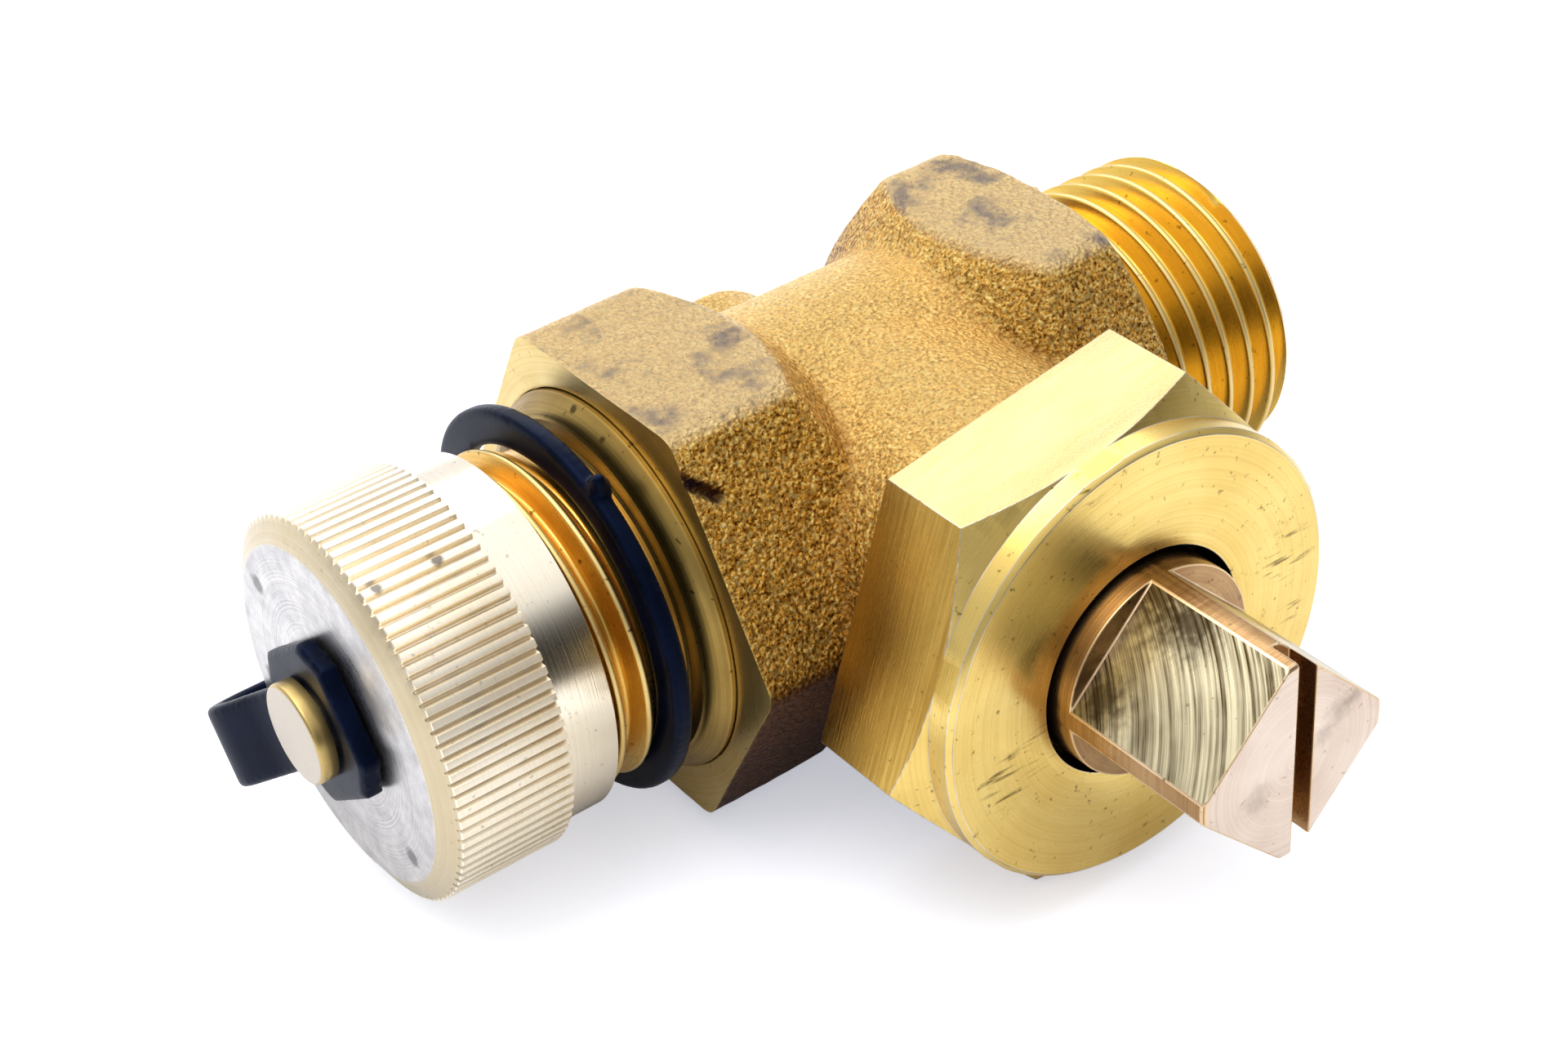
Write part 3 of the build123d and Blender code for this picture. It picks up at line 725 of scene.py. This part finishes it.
tree, place, colour = colour_of(nut_turned)
hatch_way = put(tree, "ShaderNodeMapping", {"Vector": place, "Rotation": (0, radians(38), 0),
                                            "Scale": (0.12, 1, 1)}).outputs[0]
hatch = put(tree, "ShaderNodeTexNoise", {"Vector": hatch_way, "Scale": per_mm(0.32), "Detail": 4.0}).outputs[0]
scored = put(tree, "ShaderNodeMapRange", {"Value": hatch, "From Min": 0.54, "From Max": 0.66}).outputs[0]
scratches = ((-25.6, -26.3, -3.0, 1.7), (-23.2, -26.3, -2.2, 1.5), (-4.4, -26.3, 1.9, 1.8),
             (-4.0, -26.3, -2.0, 1.0), (-19.4, -26.3, 13.6, 1.2))
scratched = marked(tree, place, colour, scratches, "#6E5A2C", 0.85)
feed(tree, Base_Color=layered(tree, colour, ((scored, scratched),)))


def nut_face(middle, normal):
    """Milled on the flats, painted shade in the spindle's hole, turned everywhere else."""
    from_axis = hypot(middle.x - spindle_x, middle.z)
    if from_axis < 7.6 * MM and abs(normal.y) < 0.6:
        return 3
    on_flat = abs(normal.y) < 0.05 and from_axis < 15.9 * MM and middle.y > -24.5 * MM
    return 0 if on_flat else 2


nut = softened_copy("gland_nut", 0.14 * MM, [nut_flats, worn_edge, nut_turned, shaded_hole_brass], nut_face)
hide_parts("gland_nut")
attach(nut, "cock_body")

# %% [markdown]
# The plug and its spindle are a copper-rich, rosy brass. The square was milled with a fly cutter,
# which left bold curved stripes across its flats. The sawn slot marks the way of the plug's port.
# Dark stains lie on the flat near the stem, and faint smudges on the faced end.

# %% Spindle
SQUARE_Y, END_Y = -27.8 * MM, -37.6 * MM
rose_turned = turned_brass("turned_rose_brass", "rose_brass", "#C6A070", "#85603A", 0.26, axis="Y")
rose_edge = turned_brass("broken_rose_edge", "rose_brass", "#EFD9B6", "#D2AC7E", 0.34, axis="Y")
rose_flats = milled_brass("fly_cut_rose_brass", "rose_brass", "#FFF0C4", "#4E3A18", 0.28, (-0.58, -0.57, -0.58),
                          0.24, 0.10, drawn_out=0.02, across=(0.49, -0.735, 0.49), curl=28.0, unbent=27.8 * MM)
rose_end = turned_brass("faced_rose_brass", "rose_brass", "#ECDDCC", "#CFB6A1", 0.36, speck=0.4, axis="Y")
tree, place, colour = colour_of(rose_flats)
stains = ((-16.3, -28.4, 6.4, 2.4), (-16.6, -31.2, 6.1, 1.7), (-21.0, -29.0, 1.7, 1.5))
feed(tree, Base_Color=marked(tree, place, colour, stains, "#33240F", 0.8, 0.9, 0.6))
tree, place, colour = colour_of(rose_end)
smudges = ((-12.3, -37.9, 1.8, 0.7), (-13.4, -37.9, 0.75, 0.5), (-11.1, -37.9, 2.25, 0.5),
           (-18.2, -37.9, -1.1, 0.7))
feed(tree, Base_Color=marked(tree, place, colour, smudges, "#857668", 0.4, 1.2, 0.8))


def spindle_face(middle, normal):
    """Fly-cut flats, faced end, turned stem."""
    if middle.y < END_Y and normal.y < -0.9:
        return 3
    on_flat = middle.y < SQUARE_Y and abs(normal.y) < 0.1 and abs(abs(normal.x) - abs(normal.z)) < 0.1
    return 2 if on_flat else 0


spindle = softened_copy("plug_spindle", 0.12 * MM, [rose_turned, rose_edge, rose_flats, rose_end], spindle_face)
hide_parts("plug_spindle")
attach(spindle, "plug")

# %% [markdown]
# The cap is a pale brass, turned and straight-knurled, with a button in its middle for the strap.
# The hollows of the knurl hold tan grime with painted shade, darker towards the bottom, which the distance from
# the axis picks out.
# The face gets a greyer painted reflection and is scuffed in arcs, its chamfer is olive, the rim is polished, and
# a few pits are dark.
# Each zone below is 1 on one stretch of the cap and 0 elsewhere.

# %% Cap
pale_brass = turned_brass("pale_turned_brass", "pale_brass", "#FFF6E4", "#EFDFBE", 0.30, speck=0.35)
tree, place, clean = colour_of(pale_brass)
outward = put(tree, "ShaderNodeVectorMath", {0: place, 1: (0, 1, 1)}, operation="MULTIPLY").outputs[0]
radius = put(tree, "ShaderNodeVectorMath", {0: outward}, operation="LENGTH").outputs["Value"]
spot = put(tree, "ShaderNodeSeparateXYZ", {0: place}).outputs
along = spot["X"]
zone = {}
for name, value, limit, test in (
        ("wide", radius, 11.5 * MM, "GREATER_THAN"),
        ("behind_chamfer", along, cap_face + 0.86 * MM, "GREATER_THAN"),
        ("face", along, cap_face + 0.05 * MM, "LESS_THAN"),
        ("behind_face", along, cap_face + 0.05 * MM, "GREATER_THAN"),
        ("before_knurl", along, cap_face + 0.80 * MM, "LESS_THAN"),
        ("button", along, cap_face - 1.5 * MM, "LESS_THAN"),
        ("rim", along, cap_rim - 3.4 * MM, "GREATER_THAN")):
    zone[name] = put(tree, "ShaderNodeMath", {0: value, 1: limit}, operation=test).outputs[0]
hollow = put(tree, "ShaderNodeMapRange", {"Value": radius, "From Min": 11.62 * MM, "From Max": 11.95 * MM,
                                          "To Min": 0.5, "To Max": 0.0}).outputs[0]
for name, value, part in (("knurl", "wide", "behind_chamfer"), ("knurl_grime_and_shade", "knurl", hollow),
                          ("chamfer", "before_knurl", "behind_face"), ("olive", "chamfer", 0.6)):
    part = zone[part] if isinstance(part, str) else part
    zone[name] = put(tree, "ShaderNodeMath", {0: zone[value], 1: part}, operation="MULTIPLY").outputs[0]
soil = put(tree, "ShaderNodeTexNoise", {"Vector": place, "Scale": per_mm(1.6), "Detail": 4.0}).outputs[0]
# Lower down, the knurl's hollows darken further: painted shade towards the bottom.
darker_towards_bottom = put(tree, "ShaderNodeMapRange", {"Value": spot["Z"], "From Min": -3 * MM, "From Max": 3 * MM,
                                           "To Min": 0.22, "To Max": 0.0}).outputs[0]
soil_and_low_shade = put(tree, "ShaderNodeMath", {0: soil, 1: darker_towards_bottom}, operation="ADD").outputs[0]
# The tan of the knurl's hollows is grime and painted shade together.
knurl_grime_and_shade = put(tree, "ShaderNodeValToRGB", {0: soil_and_low_shade}, stops=((0.5, "#CBB286"), (0.8, "#6A583C"))).outputs[0]
arc_way = put(tree, "ShaderNodeCombineXYZ", {0: radius}).outputs[0]
arcs = put(tree, "ShaderNodeTexNoise", {"Vector": arc_way, "Scale": per_mm(0.12), "Detail": 3.0}).outputs[0]
scuffs = put(tree, "ShaderNodeTexNoise", {"Vector": place, "Scale": per_mm(1.4), "Detail": 6.0,
                                          "Roughness": 0.7}).outputs[0]
worn = put(tree, "ShaderNodeMix", {0: 0.5, 2: arcs, 3: scuffs}).outputs[0]
# The face's grey tone is a painted reflection of the pale bluish surroundings, mixed with arcs and scuffs.
face_scuffs_and_painted_reflection = put(tree, "ShaderNodeValToRGB", {0: worn}, stops=((0.38, "#A8A4A4"), (0.62, "#DDD9D4"))).outputs[0]
normal = put(tree, "ShaderNodeNewGeometry").outputs["True Normal"]
leftward = put(tree, "ShaderNodeSeparateXYZ", {0: normal}).outputs["X"]
button_side = put(tree, "ShaderNodeMapRange", {"Value": leftward, "From Min": -0.95, "From Max": -0.8}).outputs[0]
button_tone = layered(tree, linear("#BFB3A2"), ((button_side, "#C0A568"),))
toned = layered(tree, clean, ((zone["knurl_grime_and_shade"], knurl_grime_and_shade), (zone["face"], face_scuffs_and_painted_reflection), (zone["olive"], "#A48E5C"),
                              (zone["button"], button_tone)))
pits = ((-52.2, 7.35, 5.11, 0.6), (-52.2, 8.37, -2.03, 0.55), (-52.2, -6.69, -6.07, 0.6),
        (-46.75, -4.99, 10.88, 0.35), (-50.52, -4.98, 10.88, 0.35))
turned_rough = tree.nodes["Principled BSDF"].inputs["Roughness"].links[0].from_socket
coarse = put(tree, "ShaderNodeMix", {0: zone["knurl"], 2: turned_rough, 3: 0.5}).outputs[0]
polished = put(tree, "ShaderNodeMix", {0: zone["rim"], 2: coarse, 3: 0.16}).outputs[0]
feed(tree, Base_Color=marked(tree, place, toned, pits, "#5E5A58", 0.85, 0.4), Roughness=polished)
cap = softened_copy("outlet_cap", 0.08 * MM, [pale_brass, pale_brass])
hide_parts("outlet_cap")
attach(cap, "cap")

# %% [markdown]
# The strap is one soft moulding in black rubber: a ring in the adapter's neck, a band and an eye on the button.
# Ring, band and eye are made as plain closed shapes and fused by a voxel remesh, which rounds them as moulded
# rubber is rounded. The ring sits skewed in its groove, lifted on the far side, as the real one does,
# and it keeps a flake of flash. The rubber's sheen has a painted blue tint, so it looks blue-black under the pale
# tent.

# %% Rubber strap
def add_loft(bm, sections):
    """Closed mesh from rings of points, with flat ends."""
    rows = [[bm.verts.new(p) for p in section] for section in sections]
    for near, far in zip(rows, rows[1:]):
        join_rings(bm, near, far, 0)
    bm.faces.new(rows[0][::-1])
    bm.faces.new(rows[-1])


bm = bmesh.new()
strap_angle = radians(-35)
strap_out = Vector((0, cos(strap_angle), sin(strap_angle)))
strap_side = Vector((0, -sin(strap_angle), cos(strap_angle)))
ring_x = outlet_face - 3.4 * MM
ring_profile = ((-0.62, -0.9), (-0.4, -1.15), (0.4, -1.15), (0.62, -0.9),
                (0.62, 0.9), (0.4, 1.15), (-0.4, 1.15), (-0.62, 0.9))
RING_STEPS = 96
ring_rows = []
for i in range(RING_STEPS):
    angle = 2 * pi * i / RING_STEPS
    lifted = max(0.0, cos(angle - radians(40))) ** 2
    middle = (10.8 + 0.75 * lifted) * MM
    at = ring_x - 0.55 * lifted * MM
    outward = Vector((0, cos(angle), sin(angle)))
    row = [Vector((at + du * MM, 0, 0)) + outward * (middle + dv * MM) for du, dv in ring_profile]
    ring_rows.append([bm.verts.new(point) for point in row])
for i in range(RING_STEPS):
    join_rings(bm, ring_rows[i], ring_rows[(i + 1) % RING_STEPS], 0)

# Way of the band from the ring to the eye, as places along the axis and out from it
band_way = ((-36.6, 11.2), (-36.7, 13.0), (-37.6, 13.75), (-41.0, 13.8), (-46.0, 13.8), (-50.5, 13.75),
            (-53.6, 13.6), (-55.0, 12.6), (-55.0, 11.2), (-54.3, 9.3), (-53.4, 7.0), (-53.0, 4.6), (-53.0, 3.6))
guide = bpy.data.curves.new("band_guide", "CURVE")
guide.dimensions = "3D"
line = guide.splines.new("NURBS")
line.points.add(len(band_way) - 1)
for point, (x, out) in zip(line.points, band_way):
    point.co = (*(Vector((x, 0, 0)) * MM + strap_out * out * MM), 1)
line.use_endpoint_u = True
line.order_u = 3
line.resolution_u = 6
guide_object = bpy.data.objects.new("band_guide", guide)
bpy.context.scene.collection.objects.link(guide_object)
guide_mesh = bpy.data.meshes.new_from_object(guide_object)
steps = [v.co.copy() for v in guide_mesh.vertices]
bpy.data.objects.remove(guide_object)
band_profile = ((-2.6, -0.3), (-2.35, -0.55), (2.35, -0.55), (2.6, -0.3),
                (2.6, 0.3), (2.35, 0.55), (-2.35, 0.55), (-2.6, 0.3))
sections = []
for i, step in enumerate(steps):
    ahead = (steps[min(i + 1, len(steps) - 1)] - steps[max(i - 1, 0)]).normalized()
    thick = ahead.cross(strap_side).normalized()
    sections.append([step + strap_side * w * MM + thick * t * MM for w, t in band_profile])
add_loft(bm, sections)

# A flake of flash that the mould's joint left on the ring
flake_lean = Vector((-0.2, -0.5, 1)).to_track_quat("Z", "Y").to_matrix().to_4x4()
flake = Matrix.Translation(Vector((-36.6, -5.4, 11.2)) * MM) @ flake_lean
bmesh.ops.create_cone(bm, cap_ends=True, segments=6, radius1=0.9 * MM, radius2=0.35 * MM, depth=1.5 * MM,
                      matrix=flake)

# Eye: a square plate with cut corners round the button's neck
eye_x = cap_face - 0.8 * MM
half, cut = 4.7, 1.8
plate = ((half, half - cut), (half - cut, half), (cut - half, half), (-half, half - cut),
         (-half, cut - half), (cut - half, -half), (half - cut, -half), (half, cut - half))
sections = []
for shift, grow in ((-0.6, 0.93), (-0.4, 1.0), (0.6, 1.0)):
    middle = Vector((eye_x + shift * MM, 0, 0))
    sections.append([middle + strap_out * a * grow * MM + strap_side * b * grow * MM for a, b in plate])
add_loft(bm, sections)
bmesh.ops.recalc_face_normals(bm, faces=bm.faces)
# The bluish specular tint and the faintly blue black paint a blue reflection onto the rubber.
strap_rubber, tree, place = finish_named("moulded_black_rubber", "strap_rubber", IOR=1.3,
                                         Specular_IOR_Level=0.25, Specular_Tint=linear("#7AA4FF"))
bloom = put(tree, "ShaderNodeTexNoise", {"Vector": place, "Scale": per_mm(2.5), "Detail": 4.0}).outputs[0]
black = put(tree, "ShaderNodeValToRGB", {0: bloom}, stops=((0.3, "#04060C"), (0.7, "#080E20"))).outputs[0]
soft = put(tree, "ShaderNodeMapRange", {"Value": bloom, "To Min": 0.26, "To Max": 0.42}).outputs[0]
fine = put(tree, "ShaderNodeTexNoise", {"Vector": place, "Scale": per_mm(0.3), "Detail": 2.0}).outputs[0]
grainy = put(tree, "ShaderNodeBump", {"Height": fine, "Strength": 0.12, "Distance": 0.05 * MM}).outputs[0]
feed(tree, Base_Color=black, Roughness=soft, Normal=grainy)
mould = new_piece("strap_mould", bm, [])
fuse = mould.modifiers.new("fuse", "REMESH")
fuse.mode = "VOXEL"
fuse.voxel_size = 0.2 * MM
ease = mould.modifiers.new("ease", "SMOOTH")
ease.factor = 0.5
ease.iterations = 4
bm = bmesh.new()
bm.from_mesh(bpy.data.meshes.new_from_object(mould.evaluated_get(bpy.context.evaluated_depsgraph_get())))
bpy.data.objects.remove(mould)
strap = new_piece("strap_moulding", bm, [strap_rubber])
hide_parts("cap_strap")
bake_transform(strap)
print("strap faces:", len(strap.data.polygons))

# %% [markdown]
# What stays inside keeps its CAD shape and gets its own finish: graphited yarn packing, a turned brass
# follower, a fibre gasket and a rubber gasket.

# %% Inner pieces
def flecked(name, slot_name, dark, light, size, rough):
    """A dull finish of light and dark flecks, this many millimetres wide."""
    material, tree, place = finish_named(name, slot_name, Roughness=rough)
    flecks = put(tree, "ShaderNodeTexNoise", {"Vector": place, "Scale": per_mm(size), "Detail": 4.0}).outputs[0]
    tone = put(tree, "ShaderNodeValToRGB", {0: flecks}, stops=((0.35, dark), (0.65, light))).outputs[0]
    bumpy = put(tree, "ShaderNodeBump", {"Height": flecks, "Strength": 0.4, "Distance": 0.1 * MM}).outputs[0]
    feed(tree, Base_Color=tone, Normal=bumpy)
    return material


yarn = flecked("graphited_braided_yarn", "packing_yarn", "#17181A", "#3A3B3E", 0.6, 0.7)
fibre = flecked("pressed_red_fibre", "gasket_fibre", "#5A2416", "#8A3F28", 0.3, 0.75)
seal_rubber = flecked("moulded_gasket_rubber", "gasket_rubber", "#121314", "#242629", 0.4, 0.6)
inner_finish = {"inner_packing_ring": yarn, "middle_packing_ring": yarn, "outer_packing_ring": yarn,
                "gland_follower": collar_brass, "adapter_gasket": fibre, "cap_gasket": seal_rubber}
for name, material in inner_finish.items():
    nodes[name].data.materials.clear()
    nodes[name].data.materials.append(material)
print("inner pieces finished:", len(inner_finish))
